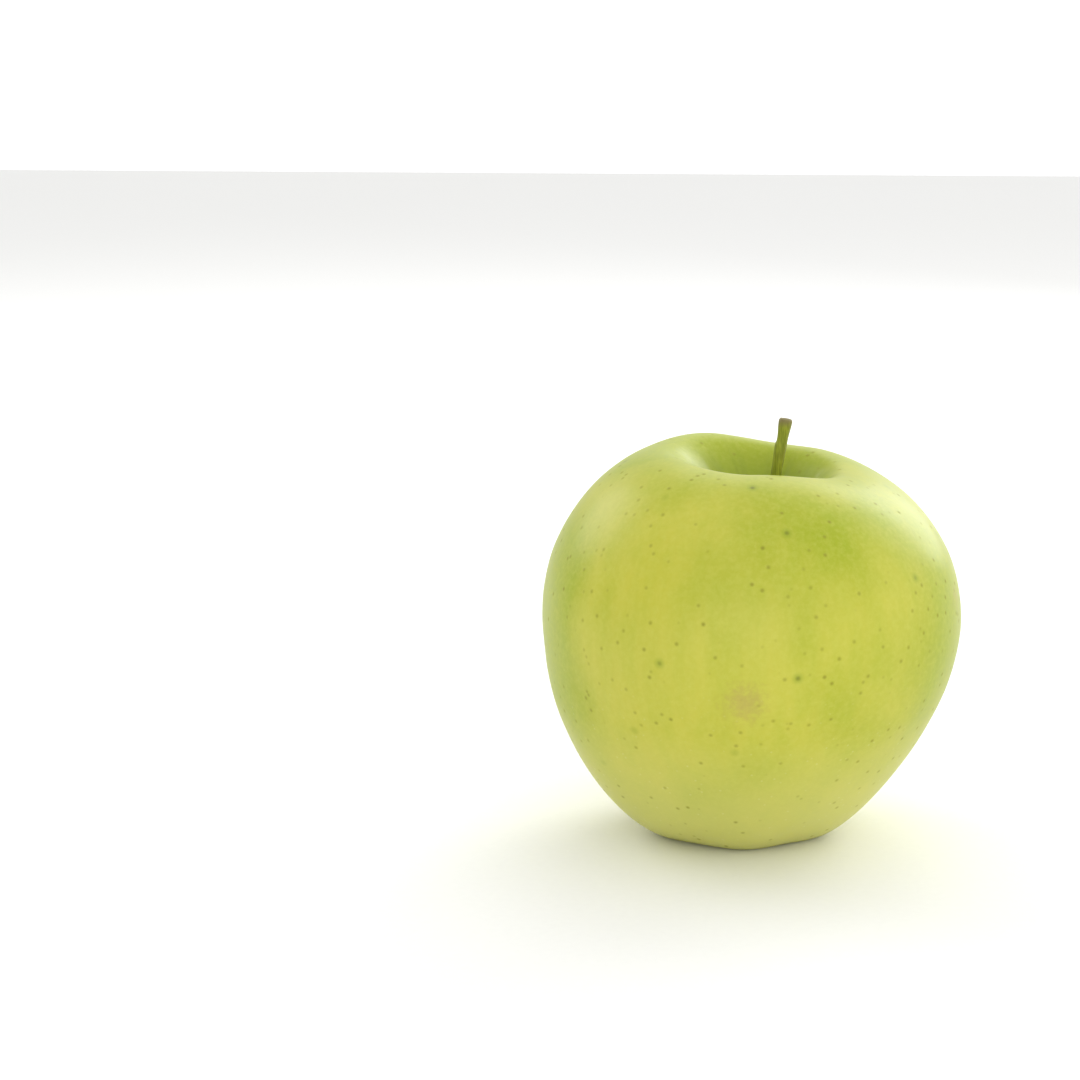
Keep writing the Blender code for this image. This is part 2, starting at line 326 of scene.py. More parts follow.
# %% Apple skin: streaks and mottle
STREAK_SPACING = 3.2 * MM
MOTTLE_SIZE = 1.1 * MM
streak_place = add(tree, "VectorMath", {0: place, 1: (1.0, 1.0, 0.10)}, operation="MULTIPLY")
streaks = add(tree, "TexNoise", {"Vector": streak_place.outputs[0], "Scale": 1 / STREAK_SPACING,
                                 "Detail": 3.0, "Roughness": 0.6})
streak = add(tree, "MapRange", {"Value": streaks.outputs["Fac"], "From Min": 0.35,
                                "From Max": 0.75, "To Max": 0.26})
streaked = add(tree, "Mix", {0: streak.outputs[0], COLOUR_A: ground.outputs[COLOUR_OUT],
                             COLOUR_B: linear("#9DB024")}, data_type="RGBA")

mottles = add(tree, "TexNoise", {"Vector": place, "Scale": 1 / MOTTLE_SIZE, "Detail": 3.0,
                                 "Roughness": 0.65})
mottle = add(tree, "MapRange", {"Value": mottles.outputs["Fac"], "From Min": 0.4,
                                "From Max": 0.75, "To Max": 0.26})
mottled = add(tree, "Mix", {0: mottle.outputs[0], COLOUR_A: streaked.outputs[COLOUR_OUT],
                            COLOUR_B: linear("#D0D060")}, data_type="RGBA")
skin_colour = mottled.outputs[COLOUR_OUT]
print("skin nodes so far:", len(tree.nodes))

# %% [markdown]
# ## Skin finish: the cavity
#
# Little sun reaches the stem cavity, so it stays a deeper green. Darker lines of painted shade
# lie where the skin is folded. The distance from the stem, and the height, say how far the green
# reaches.
# The lines could follow the folds' own formula, but noise that is read by its bearing from
# the stem gives finer ones, and they run outwards too.

# %% Apple skin: the cavity
UPPER_HALF = (45 * MM, 56 * MM)
NEAR_STEM = (16 * MM, 7 * MM)
# The noise is read round a circle of radius 1, and this is its scale there
CREASES = 3.2
from_stem = add(tree, "VectorMath", {0: place, 1: (cavity_floor.x, cavity_floor.y, 0.0)},
                operation="SUBTRACT")
stem_level = add(tree, "VectorMath", {0: from_stem.outputs[0], 1: (1.0, 1.0, 0.0)},
                 operation="MULTIPLY")
stem_distance = add(tree, "VectorMath", {0: stem_level.outputs[0]}, operation="LENGTH")
upper_half = add(tree, "MapRange", {"Value": axes.outputs["Z"], "From Min": UPPER_HALF[0],
                                    "From Max": UPPER_HALF[1]})
near_stem = add(tree, "MapRange", {"Value": stem_distance.outputs["Value"],
                                   "From Min": NEAR_STEM[0], "From Max": NEAR_STEM[1]},
                interpolation_type="SMOOTHSTEP")
in_cavity = add(tree, "Math", {0: near_stem.outputs[0], 1: upper_half.outputs[0]},
                operation="MULTIPLY")
cavity_mix = add(tree, "Mix", {0: in_cavity.outputs[0], COLOUR_A: skin_colour,
                               COLOUR_B: linear("#8E9E14")}, data_type="RGBA")

# Painted shade: darker lines that run outwards along the cavity's folds
stem_bearing = add(tree, "VectorMath", {0: stem_level.outputs[0]}, operation="NORMALIZE")
creases = add(tree, "TexNoise", {"Vector": stem_bearing.outputs[0], "Scale": CREASES,
                                 "Detail": 2.0, "Roughness": 0.6})
crease = add(tree, "MapRange", {"Value": creases.outputs["Fac"], "From Min": 0.50,
                                "From Max": 0.68, "To Max": 0.75})
crease_shade_here = add(tree, "Math", {0: crease.outputs[0], 1: in_cavity.outputs[0]},
                  operation="MULTIPLY")
crease_shade_mix = add(tree, "Mix", {0: crease_shade_here.outputs[0],
                               COLOUR_A: cavity_mix.outputs[COLOUR_OUT],
                               COLOUR_B: linear("#76860E")}, data_type="RGBA")
print("the cavity is green within", round(NEAR_STEM[0] / MM), "mm of the stem")

# %% [markdown]
# ## Skin finish: russet
#
# The floor of the cavity has russet: a thin brown film of cork that grew over small cracks.
# It is densest at the stem and breaks up outwards. So a noise is multiplied by how near the
# stem is, and only where the result is high enough does the film show.

# %% Apple skin: russet film
FILM_SIZE = 1.6 * MM
FILM_REACH = (12.5 * MM, 2 * MM)
film_place = add(tree, "VectorMath", {0: place, 1: (1.0, 1.0, 0.22)}, operation="MULTIPLY")
films = add(tree, "TexNoise", {"Vector": film_place.outputs[0], "Scale": 1 / FILM_SIZE,
                               "Detail": 4.0, "Roughness": 0.6})
film_reach = add(tree, "MapRange", {"Value": stem_distance.outputs["Value"],
                                    "From Min": FILM_REACH[0], "From Max": FILM_REACH[1]})
film_amount = add(tree, "Math", {0: films.outputs["Fac"], 1: film_reach.outputs[0]},
                  operation="MULTIPLY")
film = add(tree, "MapRange", {"Value": film_amount.outputs[0], "From Min": 0.22,
                              "From Max": 0.50, "To Max": 0.75}, interpolation_type="SMOOTHSTEP")
film_here = add(tree, "Math", {0: film.outputs[0], 1: upper_half.outputs[0]},
                operation="MULTIPLY")
russet_mix = add(tree, "Mix", {0: film_here.outputs[0], COLOUR_A: crease_shade_mix.outputs[COLOUR_OUT],
                               COLOUR_B: linear("#8A7A35")}, data_type="RGBA")
print("russet reaches", round(FILM_REACH[0] / MM, 1), "mm from the stem")

# %% [markdown]
# ## Skin finish: foot and basin
#
# Towards its foot the apple's skin is painted a paler straw, as painted light that stands in
# for the light the white floor throws up. In the basin it is a fresher green again, and brown
# lines reach out from the eye, where the skin cracked and healed with cork. The height gives
# the painted light on the foot, and the distance from the eye gives the basin. The brown uses
# the russet's noise once more, because it is cork as well.

# %% Apple skin: foot and basin
# Heights at which the painted light on the foot is nil, and at which it is full
FOOT_LIGHT_HEIGHTS = (28 * MM, 2 * MM)
NEAR_EYE = (15 * MM, 6 * MM)
EYE_RING = (5.5 * MM, 2.5 * MM)
eye_arm = add(tree, "VectorMath", {0: place, 1: eye}, operation="SUBTRACT")
eye_distance = add(tree, "VectorMath", {0: eye_arm.outputs[0]}, operation="LENGTH")
near_eye = add(tree, "MapRange", {"Value": eye_distance.outputs["Value"],
                                  "From Min": NEAR_EYE[0], "From Max": NEAR_EYE[1],
                                  "To Max": 0.55}, interpolation_type="SMOOTHSTEP")
# Painted light: the skin is paler towards the foot, for the light the floor throws up
foot_light = add(tree, "MapRange", {"Value": axes.outputs["Z"], "From Min": FOOT_LIGHT_HEIGHTS[0],
                                   "From Max": FOOT_LIGHT_HEIGHTS[1], "To Max": 0.80})
foot_light_mix = add(tree, "Mix", {0: foot_light.outputs[0], COLOUR_A: russet_mix.outputs[COLOUR_OUT],
                             COLOUR_B: linear("#D4D27A")}, data_type="RGBA")
basin_mix = add(tree, "Mix", {0: near_eye.outputs[0], COLOUR_A: foot_light_mix.outputs[COLOUR_OUT],
                              COLOUR_B: linear("#A9B63C")}, data_type="RGBA")
eye_ring = add(tree, "MapRange", {"Value": eye_distance.outputs["Value"],
                                  "From Min": EYE_RING[0], "From Max": EYE_RING[1]})
eye_amount = add(tree, "Math", {0: films.outputs["Fac"], 1: eye_ring.outputs[0]},
                 operation="MULTIPLY")
eye_brown = add(tree, "MapRange", {"Value": eye_amount.outputs[0], "From Min": 0.15,
                                   "From Max": 0.55, "To Max": 0.85})
eye_mix = add(tree, "Mix", {0: eye_brown.outputs[0], COLOUR_A: basin_mix.outputs[COLOUR_OUT],
                            COLOUR_B: linear("#6B5A2C")}, data_type="RGBA")
skin_colour = eye_mix.outputs[COLOUR_OUT]
print("skin nodes so far:", len(tree.nodes))

# %% [markdown]
# ## Skin finish: lenticels
#
# Apples breathe through lenticels: corky dots up to a millimetre across and 5 to 8 mm apart.
# A few are larger, with a green halo where the skin stayed unripe round them, and low on the
# apple there are small pale ones as well. Voronoi cells in space give the dots: the surface
# cuts each cell at its own distance from the cell's point, which makes dots of many sizes
# with no pattern to them. Placed one by one, they would look too even.

# %% Apple skin: where the lenticels are
LENTICEL_CELL = 3.0 * MM
LENTICEL_RADIUS = 0.61 * MM
HALO_CELL = 10.5 * MM
HALO_CORE = 0.62 * MM
HALO_RADIUS = 1.5 * MM
PALE_CELL = 1.9 * MM
PALE_RADIUS = 0.30 * MM
LOWER_HALF = (42 * MM, 14 * MM)

dots = add(tree, "TexVoronoi", {"Vector": place, "Scale": 1 / LENTICEL_CELL})
dot = add(tree, "MapRange", {"Value": dots.outputs["Distance"],
                             "From Min": LENTICEL_RADIUS / LENTICEL_CELL,
                             "From Max": 0.10 * LENTICEL_RADIUS / LENTICEL_CELL,
                             "To Max": 0.85}, interpolation_type="SMOOTHSTEP")
uneven = add(tree, "MapRange", {"Value": patches.outputs["Fac"], "From Min": 0.30,
                                "From Max": 0.62, "To Min": 1.0, "To Max": 0.60})
uneven_dot = add(tree, "Math", {0: dot.outputs[0], 1: uneven.outputs[0]}, operation="MULTIPLY")
halos = add(tree, "TexVoronoi", {"Vector": place, "Scale": 1 / HALO_CELL})
halo = add(tree, "MapRange", {"Value": halos.outputs["Distance"],
                              "From Min": HALO_RADIUS / HALO_CELL, "From Max": 0.02,
                              "To Max": 0.50}, interpolation_type="SMOOTHSTEP")
core = add(tree, "MapRange", {"Value": halos.outputs["Distance"],
                              "From Min": HALO_CORE / HALO_CELL,
                              "From Max": 0.1 * HALO_CORE / HALO_CELL, "To Max": 0.8})
pales = add(tree, "TexVoronoi", {"Vector": place, "Scale": 1 / PALE_CELL})
pale = add(tree, "MapRange", {"Value": pales.outputs["Distance"],
                              "From Min": PALE_RADIUS / PALE_CELL,
                              "From Max": 0.3 * PALE_RADIUS / PALE_CELL, "To Max": 0.35})
lower_half = add(tree, "MapRange", {"Value": axes.outputs["Z"], "From Min": LOWER_HALF[0],
                                    "From Max": LOWER_HALF[1]})
pale_here = add(tree, "Math", {0: pale.outputs[0], 1: lower_half.outputs[0]},
                operation="MULTIPLY")
skin_per_dot = LENTICEL_CELL ** 3 / (2 * LENTICEL_RADIUS)
print("one lenticel to about", round(skin_per_dot / MM ** 2), "square mm")

# %% [markdown]
# ## Skin finish: the lenticels' colours
#
# Each kind of dot has its own colour: deep green for a halo, pale straw for the small ones
# low down, olive brown cork for the common ones and a darker green-brown for the heart of a
# halo. They are laid over each other like thin glazes, the darkest last.

# %% Apple skin: lenticel colours
with_halo = add(tree, "Mix", {0: halo.outputs[0], COLOUR_A: skin_colour,
                              COLOUR_B: linear("#80950E")}, data_type="RGBA")
with_pale = add(tree, "Mix", {0: pale_here.outputs[0], COLOUR_A: with_halo.outputs[COLOUR_OUT],
                              COLOUR_B: linear("#DADA9A")}, data_type="RGBA")
with_dots = add(tree, "Mix", {0: uneven_dot.outputs[0], COLOUR_A: with_pale.outputs[COLOUR_OUT],
                              COLOUR_B: linear("#87841C")}, data_type="RGBA")
with_cores = add(tree, "Mix", {0: core.outputs[0], COLOUR_A: with_dots.outputs[COLOUR_OUT],
                               COLOUR_B: linear("#6C7012")}, data_type="RGBA")
skin_colour = with_cores.outputs[COLOUR_OUT]
print("skin nodes so far:", len(tree.nodes))

# %% [markdown]
# ## Skin finish: marks
#
# This apple has two faint marks: a pinkish brown bruise a fingertip wide on its front, and a
# small one on its right. Each is a ball in space, and the skin inside it is tinted. The mottle
# is added to the distance from the ball's centre, so the edge is ragged and not a circle.

# %% Apple skin: two faint marks
MARKS = (
    (Vector((-0.8, -38.8, 34.8)) * MM, 6.4 * MM, 0.46),
    (Vector((36.5, -9.0, 48.5)) * MM, 3.6 * MM, 0.45),
)
# Shares of a mark's radius: what the mottle may add, where the tint ends, and where it is full.
# The mottle is about a half, so a mark is full at its centre and gone at 0.9 of its radius.
RAGGED = 1.2
TINT_ENDS = 1.5
TINT_FULL = 0.6
for centre, radius, strength in MARKS:
    arm = add(tree, "VectorMath", {0: place, 1: centre}, operation="SUBTRACT")
    reach = add(tree, "VectorMath", {0: arm.outputs[0]}, operation="LENGTH")
    ragged = add(tree, "Math", {0: mottles.outputs["Fac"], 1: RAGGED * radius,
                                2: reach.outputs["Value"]}, operation="MULTIPLY_ADD")
    mark = add(tree, "MapRange", {"Value": ragged.outputs[0], "From Min": TINT_ENDS * radius,
                                  "From Max": TINT_FULL * radius, "To Max": strength},
               interpolation_type="SMOOTHSTEP")
    marked = add(tree, "Mix", {0: mark.outputs[0], COLOUR_A: skin_colour,
                               COLOUR_B: linear("#B2955C")}, data_type="RGBA")
    skin_colour = marked.outputs[COLOUR_OUT]
print("marks:", len(MARKS))

# %% [markdown]
# ## Skin finish: wax and flesh
#
# Under a thin natural wax the skin gives a soft, wide highlight, and the wet flesh just below
# lets a little light through, which keeps the shaded side from looking like painted plaster.
# So the shader has an IOR of 1.40, near that of wet plant skin, a middling roughness that the
# mottle varies, a weak coat for the wax, and a little subsurface light that spreads furthest
# in red. Lenticels are rougher, and stand up by a few hundredths of a millimetre.

# %% Apple skin: shader
WAX_ROUGHNESS = 0.40
FLESH_SPREAD = 2.2 * MM
CORK_ROUGHNESS = 0.25
CORK_LIFT = 0.05 * MM
PORE_SIZE = 0.7 * MM
PORE_LIFT = 0.035 * MM

rough_wax = add(tree, "MapRange", {"Value": mottles.outputs["Fac"], "From Min": 0.3,
                                   "From Max": 0.7, "To Min": WAX_ROUGHNESS - 0.03,
                                   "To Max": WAX_ROUGHNESS + 0.05})
rough_dot = add(tree, "Math", {0: dot.outputs[0], 1: CORK_ROUGHNESS, 2: rough_wax.outputs[0]},
                operation="MULTIPLY_ADD")
pores = add(tree, "TexNoise", {"Vector": place, "Scale": 1 / PORE_SIZE, "Detail": 2.0})
dot_lift = add(tree, "Bump", {"Height": dot.outputs[0], "Distance": CORK_LIFT, "Strength": 0.6})
pore_lift = add(tree, "Bump", {"Height": pores.outputs["Fac"], "Distance": PORE_LIFT,
                               "Strength": 0.5, "Normal": dot_lift.outputs[0]})
skin_inputs = {
    "Base Color": skin_colour,
    "Roughness": rough_dot.outputs[0],
    "Normal": pore_lift.outputs[0],
}
for socket, source in skin_inputs.items():
    tree.links.new(source, shader.inputs[socket])
shader.inputs["IOR"].default_value = 1.40
shader.inputs["Coat Weight"].default_value = 0.06
shader.inputs["Coat Roughness"].default_value = 0.30
shader.inputs["Subsurface Weight"].default_value = 0.15
shader.inputs["Subsurface Radius"].default_value = (1.0, 0.75, 0.25)
shader.inputs["Subsurface Scale"].default_value = FLESH_SPREAD
print("skin nodes:", len(tree.nodes))

# %% [markdown]
# ## Round threads and the stem
#
# A stem, a stamen and a style are all tubes whose thickness and outline change along their
# length. A curve with a bevel would give round tubes only. So one function lofts rings of
# points along a path, and each piece brings its own function that says how far out each point
# of a ring is. Each end is closed by a point, and the last one may be sunk in, as in a scar.

# %% Loft a tube along a path


def loft(name, path, radius_at, sides, end_dip=0.0):
    """A closed tube. radius_at(share, angle) gives its radius along it and round it."""
    tube = bmesh.new()
    rings = []
    last = len(path) - 1
    for index, centre in enumerate(path):
        along = (path[min(index + 1, last)] - path[max(index - 1, 0)]).normalized()
        side = along.cross(Vector((0.0, 1.0, 0.0))).normalized()
        other = along.cross(side)
        ring = []
        for step in range(sides):
            angle = 2 * math.pi * step / sides
            out = side * math.cos(angle) + other * math.sin(angle)
            ring.append(tube.verts.new(centre + out * radius_at(index / last, angle)))
        rings.append(ring)
    for lower, upper in zip(rings, rings[1:]):
        for step in range(sides):
            after = (step + 1) % sides
            tube.faces.new((lower[step], lower[after], upper[after], upper[step]))
    start = tube.verts.new(path[0])
    end_direction = (path[-1] - path[-2]).normalized()
    end = tube.verts.new(path[-1] - end_direction * end_dip)
    for step in range(sides):
        after = (step + 1) % sides
        tube.faces.new((start, rings[0][after], rings[0][step]))
        tube.faces.new((end, rings[-1][step], rings[-1][after]))
    bmesh.ops.recalc_face_normals(tube, faces=tube.faces)
    mesh = bpy.data.meshes.new(name)
    tube.to_mesh(mesh)
    tube.free()
    mesh.shade_smooth()
    piece = bpy.data.objects.new(name, mesh)
    bpy.context.scene.collection.objects.link(piece)
    return piece


print("loft is ready")

# %% [markdown]
# ## The stem
#
# The stem is this year's green wood, about 2 mm thick. It swells where it enters the flesh,
# has low ridges along it and a small step where a bract fell, and ends in a flared scar
# where it parted from the spur. The path follows the measured stem, and starts a little
# below the cavity floor so that the stem grows out of the flesh. Each feature is one term of
# its radius, and the terms add up.

# %% Stem shape
STEM_RADIUS = 1.02 * MM
STEM_TOP_RADIUS = 1.3 * MM
STEM_RINGS = 90
STEM_SIDES = 40
STEM_ROOT = 1.2 * MM
STEM_WANDER = 0.16 * MM
FOOT_SWELL = 0.62 * MM
RIM_ROUND = 0.22 * MM
SCAR_DIP = 0.45 * MM
STEM_RIDGES = 5
RIDGE_HEIGHT = 0.045 * STEM_RADIUS
BRACT_SHARE = 0.80
BRACT_STEP = 0.16 * MM
BARK_GRAIN = 0.05 * MM
# The scar's high edge stands this far above the middle of the top, because the stem leans
SCAR_TILT = 0.35 * MM

stem_top = Vector((stem_high.x - STEM_TOP_RADIUS, cavity_floor.y, stem_high.z - SCAR_TILT))


def stem_path(share):
    """Centre of the stem: upright at its foot and then leaning to the right."""
    lean = (stem_top.x - cavity_floor.x) * share * ease(0.0, 0.35, share)
    foot = cavity_floor.z - STEM_ROOT
    wander = STEM_WANDER * math.sin(5.2 * share + 0.6) * ease(0.0, 0.3, share)
    return Vector((cavity_floor.x + lean, cavity_floor.y + wander,
                   foot + (stem_top.z - foot) * share))


def stem_radius(share, angle):
    """Swollen foot, slim middle, flared scar, ridges and the step of the bract."""
    foot = FOOT_SWELL * ease(0.30, 0.0, share)
    scar = (STEM_TOP_RADIUS - STEM_RADIUS) * ease(0.84, 0.985, share)
    rim = -RIM_ROUND * ease(0.985, 1.0, share)
    ridge = RIDGE_HEIGHT * math.cos(STEM_RIDGES * angle + 2.0 * share)
    bract = BRACT_STEP * ease(BRACT_SHARE + 0.012, BRACT_SHARE - 0.004, share)
    bract *= ease(BRACT_SHARE - 0.20, BRACT_SHARE - 0.02, share) * ease(0.2, 1.0, math.cos(angle))
    grain = Vector((2.2 * math.cos(angle), 2.2 * math.sin(angle), 9.0 * share))
    rough = BARK_GRAIN * noise.noise(grain)
    return STEM_RADIUS + foot + scar + rim + ridge + bract + rough


stem = loft("apple_stem", [stem_path(i / STEM_RINGS) for i in range(STEM_RINGS + 1)],
            stem_radius, STEM_SIDES, end_dip=SCAR_DIP)
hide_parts("stem")
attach(stem, "root")
print("stem length, mm:", round((stem_path(1.0) - stem_path(0.0)).length / MM, 1))

# %% [markdown]
# ## Stem finish: green bark
#
# The bark is olive green along its middle and brown at both ends: darker brown towards the
# foot, and dry wood on the scar. Fine fibres run along it, about 0.15 mm apart, drawn twice as
# coarse so that they show. Young bark has no wax, so it is rough and its highlight is weak
# and wide, which sets it off against the smoother skin.

# %% Green stem bark
FIBRE_SPACING = 0.30 * MM
BLOTCH_SIZE = 2.6 * MM
# Heights above the cavity floor and below the top, at which each brown is nil, and is full
BROWN_FOOT = (7 * MM, 0.5 * MM)
BROWN_SCAR = (2.2 * MM, 0.4 * MM)
BARK_LIFT = 0.10 * MM
bark, tree, shader = new_material("green_stem_bark")
stem.data.materials.append(bark)
place = add(tree, "TexCoord").outputs["Object"]
axes = add(tree, "SeparateXYZ", {0: place})
fibre_place = add(tree, "VectorMath", {0: place, 1: (1.0, 1.0, 0.08)}, operation="MULTIPLY")
fibres = add(tree, "TexNoise", {"Vector": fibre_place.outputs[0], "Scale": 1 / FIBRE_SPACING,
                                "Detail": 3.0, "Roughness": 0.6})
blotches = add(tree, "TexNoise", {"Vector": place, "Scale": 1 / BLOTCH_SIZE, "Detail": 2.0})
fibre = add(tree, "MapRange", {"Value": fibres.outputs["Fac"], "From Min": 0.35,
                               "From Max": 0.70})
green = add(tree, "Mix", {0: fibre.outputs[0], COLOUR_A: linear("#737C0E"),
                          COLOUR_B: linear("#A0A62C")}, data_type="RGBA")
blotch = add(tree, "MapRange", {"Value": blotches.outputs["Fac"], "From Min": 0.45,
                                "From Max": 0.75, "To Max": 0.5})
worn = add(tree, "Mix", {0: blotch.outputs[0], COLOUR_A: green.outputs[COLOUR_OUT],
                         COLOUR_B: linear("#857C2A")}, data_type="RGBA")
at_foot = add(tree, "MapRange", {"Value": axes.outputs["Z"],
                                 "From Min": cavity_floor.z + BROWN_FOOT[0],
                                 "From Max": cavity_floor.z + BROWN_FOOT[1], "To Max": 0.7})
footed = add(tree, "Mix", {0: at_foot.outputs[0], COLOUR_A: worn.outputs[COLOUR_OUT],
                           COLOUR_B: linear("#5E5620")}, data_type="RGBA")
at_scar = add(tree, "MapRange", {"Value": axes.outputs["Z"],
                                 "From Min": stem_high.z - BROWN_SCAR[0],
                                 "From Max": stem_high.z - BROWN_SCAR[1], "To Max": 0.85},
              interpolation_type="SMOOTHSTEP")
scarred = add(tree, "Mix", {0: at_scar.outputs[0], COLOUR_A: footed.outputs[COLOUR_OUT],
                            COLOUR_B: linear("#7A6C44")}, data_type="RGBA")
fibre_lift = add(tree, "Bump", {"Height": fibres.outputs["Fac"], "Distance": BARK_LIFT,
                                "Strength": 0.7})
tree.links.new(scarred.outputs[COLOUR_OUT], shader.inputs["Base Color"])
tree.links.new(fibre_lift.outputs[0], shader.inputs["Normal"])
shader.inputs["Roughness"].default_value = 0.62
shader.inputs["IOR"].default_value = 1.45
print("bark nodes:", len(tree.nodes))

# %% [markdown]
# ## The dried flower in the eye
#
# An apple's eye is what is left of its flower: five sepals that dried, curled and closed over
# the withered stamens and style. A cloth simulation could crumple them, but they are 4 mm
# long, and noise does it as well. Each sepal is a thin leaf, so it is a grid that is folded
# along its middle, narrowed to a tip, curled outwards and crumpled, and then given its
# thickness by Solidify. Each takes its place and direction from its measured node.

# %% Five dried sepals
SEPALS = 5
SEPAL_WIDTH = 3.3 * MM
SEPAL_THICKNESS = 0.16 * MM
SEPAL_CURL = 2.9 * MM
SEPAL_BELLY = 0.27
SEPAL_TIP = 0.12 * MM
CRUMPLE = 0.42 * MM
CRUMPLE_SIZE = 1.3 * MM
# Roots stand on a ring round the eye, and start inside the flesh so that no gap shows
ROOT_RING = 2.9 * MM
SEPAL_ROOT = 0.5 * MM


def sepal_mesh(name, root, tip_height, outward, seed):
    """A crumpled leaf from its root down to its tip."""
    across = Vector((-outward.y, outward.x, 0.0))
    leaf = bmesh.new()
    bmesh.ops.create_grid(leaf, x_segments=14, y_segments=30, size=0.5)
    for vertex in leaf.verts:
        share = vertex.co.y + 0.5
        side = 2 * vertex.co.x
        width = 0.5 * SEPAL_WIDTH * (1.0 - share ** 1.7) ** 0.8 + SEPAL_TIP
        curl = SEPAL_CURL * (share ** 2.4 - SEPAL_BELLY * math.sin(math.pi * share))
        fold = 0.35 * width * side * side * (1.0 + 0.8 * share)
        place = root + across * (side * width) + outward * (curl + fold)
        place.z = root.z + (tip_height - root.z) * (share - 0.12 * share ** 4)
        shake = noise.noise_vector(place / CRUMPLE_SIZE + Vector((seed, 0.0, 0.0)))
        vertex.co = place + shake * CRUMPLE * ease(0.0, 0.35, share)
    mesh = bpy.data.meshes.new(name)
    leaf.to_mesh(mesh)
    leaf.free()
    mesh.shade_smooth()
    return mesh


sepals = []
for number in range(1, SEPALS + 1):
    low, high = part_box(f"sepal_{number}")
    outward = Vector(((low.x + high.x) / 2 - eye.x, (low.y + high.y) / 2 - eye.y, 0.0))
    outward.normalize()
    root = Vector((eye.x, eye.y, high.z + SEPAL_ROOT)) + outward * ROOT_RING
    mesh = sepal_mesh(f"dried_sepal_{number}", root, low.z, outward, 3.7 * number)
    sepal = bpy.data.objects.new(mesh.name, mesh)
    bpy.context.scene.collection.objects.link(sepal)
    shell = sepal.modifiers.new("thickness", "SOLIDIFY")
    shell.thickness = SEPAL_THICKNESS
    shell.offset = 0.0
    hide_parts(f"sepal_{number}")
    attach(sepal, "root")
    sepals.append(sepal)
print("sepals:", len(sepals))

# %% [markdown]
# ## Stamens and style
#
# Inside the sepals stand the withered threads of the stamens, some with the dry knob of their
# anther, round the stump of the style. They are lofted like the stem, because each one gets
# thinner and ends in a knob. Their paths bend by noise, each with a seed of its own, so they
# bend the same way each time the script runs. Odd ones lean in, and even ones lean out.

# %% Withered stamens and the style
THREAD_RADIUS = 0.15 * MM
ANTHER_RADIUS = 0.34 * MM
THREAD_RINGS = 22
THREAD_BEND = 0.55 * MM
THREAD_ROOT = 0.6 * MM
THREAD_WRINKLE = 0.02 * MM
STAMENS = 10
LEAN_IN = 0.25
LEAN_OUT = -0.20
STYLE_THICKNESS = 1.5


def thread_radius(share, angle):
    """A thin thread that thins further and ends in a small knob."""
    thread = THREAD_RADIUS * (1.15 - 0.45 * share)
    knob = (ANTHER_RADIUS - THREAD_RADIUS) * math.sin(math.pi * ease(0.80, 1.0, share))
    wrinkle = THREAD_WRINKLE * math.cos(3 * angle + 9.0 * share)
    return thread + max(knob, 0.0) + wrinkle * ease(0.0, 0.1, share)


def thread_path(root, tip, seed):
    """A path from root to tip that wanders sideways."""
    path = []
    for index in range(THREAD_RINGS + 1):
        share = index / THREAD_RINGS
        bend = noise.noise_vector(Vector((seed, 2.3 * share, 0.5)))
        bend.z = 0.0
        path.append(root.lerp(tip, share) + bend * THREAD_BEND * ease(0.0, 0.8, share))
    return path


threads = []
for number in range(1, STAMENS + 1):
    node = f"stamen_{number:02d}"
    low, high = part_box(node)
    centre = (low + high) / 2
    root = Vector((centre.x, centre.y, high.z + THREAD_ROOT))
    inward = Vector((eye.x - centre.x, eye.y - centre.y, 0.0))
    tip = Vector((centre.x, centre.y, low.z)) + inward * (LEAN_IN if number % 2 else LEAN_OUT)
    stamen = loft("withered_" + node, thread_path(root, tip, 5.1 * number), thread_radius, 10)
    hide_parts(node)
    threads.append(stamen)

style_root = Vector((eye.x, eye.y, style_high.z + THREAD_ROOT))
style_tip = Vector((eye.x, eye.y, style_low.z))
style = loft("withered_style", thread_path(style_root, style_tip, 77.0),
             lambda share, angle: STYLE_THICKNESS * thread_radius(share, angle), 12)
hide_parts("style")
threads.append(style)
for thread in threads:
    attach(thread, "root")
print("threads:", len(threads))

# %% [markdown]
# ## Dried flower finish
#
# Dried sepals are dark brown with a grey bloom of fine hairs on their raised parts, and the
# threads are nearly black. Both are dead plant fibre with no wax, so they are rough and stay
# dark in any light. Both keep a green tinge at their roots. The two finishes differ only in
# their colours, grain and roughness, so one loop makes them.

# %% Dried sepal and withered thread
FIBRE_LIFT = 0.12 * MM
GREEN_ROOT = 2.5 * MM
for name, dark, pale, scale, rough, pieces in (
    ("dried_sepal", "#3A2A18", "#8A7B5C", 0.55 * MM, 0.85, sepals),
    ("withered_thread", "#1E150C", "#5A4A2E", 0.35 * MM, 0.90, threads),
):
    dry, tree, shader = new_material(name)
    place = add(tree, "TexCoord").outputs["Object"]
    grain = add(tree, "TexNoise", {"Vector": place, "Scale": 1 / scale, "Detail": 4.0,
                                   "Roughness": 0.65})
    tone = add(tree, "MapRange", {"Value": grain.outputs["Fac"], "From Min": 0.40,
                                  "From Max": 0.72})
    colour = add(tree, "Mix", {0: tone.outputs[0], COLOUR_A: linear(dark),
                               COLOUR_B: linear(pale)}, data_type="RGBA")
    height = add(tree, "SeparateXYZ", {0: place})
    at_root = add(tree, "MapRange", {"Value": height.outputs["Z"], "From Min": eye.z - GREEN_ROOT,
                                     "From Max": eye.z, "To Max": 0.35})
    rooted = add(tree, "Mix", {0: at_root.outputs[0], COLOUR_A: colour.outputs[COLOUR_OUT],
                               COLOUR_B: linear("#6F7030")}, data_type="RGBA")
    lift = add(tree, "Bump", {"Height": grain.outputs["Fac"], "Distance": FIBRE_LIFT,
                              "Strength": 0.8})
    tree.links.new(rooted.outputs[COLOUR_OUT], shader.inputs["Base Color"])
    tree.links.new(lift.outputs[0], shader.inputs["Normal"])
    shader.inputs["Roughness"].default_value = rough
    for piece in pieces:
        piece.data.materials.append(dry)
    print(name, "on", len(pieces), "pieces")

